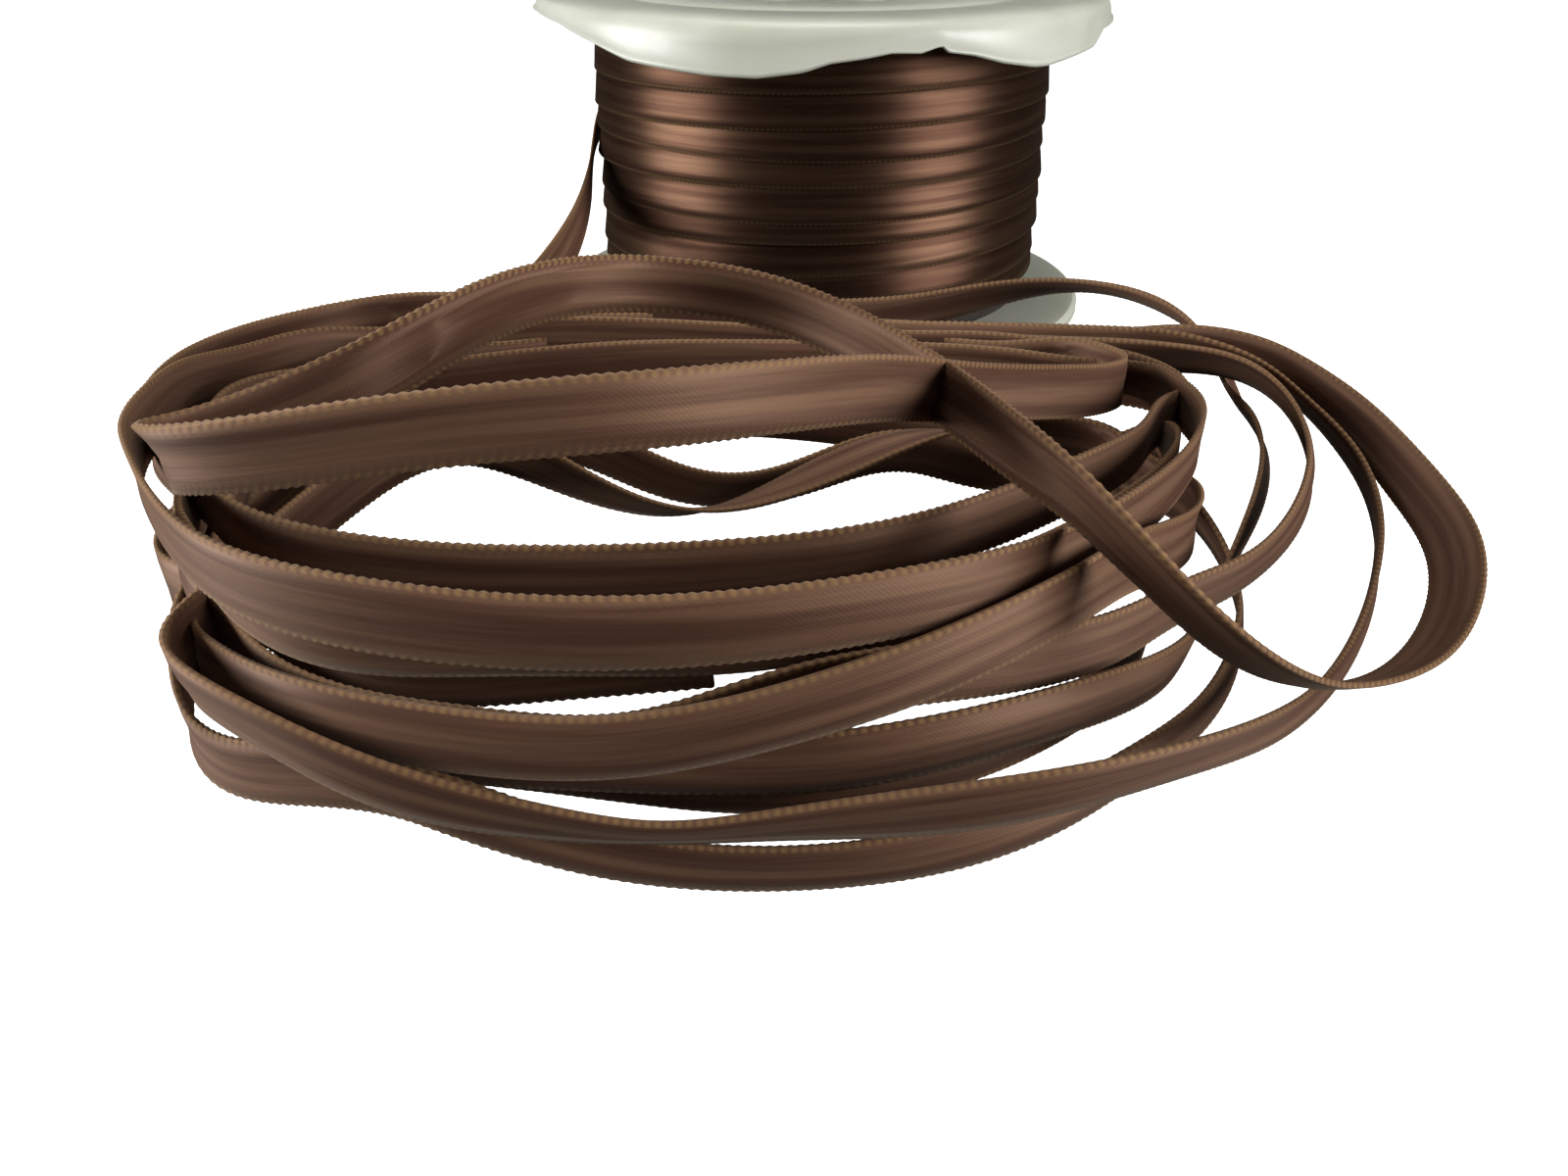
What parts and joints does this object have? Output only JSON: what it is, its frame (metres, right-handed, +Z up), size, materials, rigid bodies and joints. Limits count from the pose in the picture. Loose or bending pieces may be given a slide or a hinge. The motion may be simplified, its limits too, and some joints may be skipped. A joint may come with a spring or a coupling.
{
  "type": "satin ribbon on a spool",
  "caption": "Narrow brown satin ribbon wound on a small white flanged spool, with a length drawn off and lying in a loose coil in front.",
  "frame": {"origin": "centre of the spool's lower flange, on the surface that it stands on", "axes": "+Z up along the spool's axis, the loose coil lies towards -Y, +X to the right of the coil seen from the front"},
  "size_m": [0.0698, 0.1151, 0.0284],
  "materials": {
    "satin_ribbon": "satin",
    "spool_plastic": "satin"
  },
  "bodies": {
    "root": {"spool_base": "spool_plastic", "spool_cap": "spool_plastic", "ribbon_roll": "satin_ribbon", "ribbon_coil": "satin_ribbon", "ribbon_lead": "satin_ribbon", "ribbon_arch": "satin_ribbon", "ribbon_loop_wide": "satin_ribbon", "ribbon_loop_middle": "satin_ribbon", "ribbon_loop_back": "satin_ribbon", "ribbon_loop_low": "satin_ribbon", "ribbon_inner_wave": "satin_ribbon"}
  },
  "joints": []
}
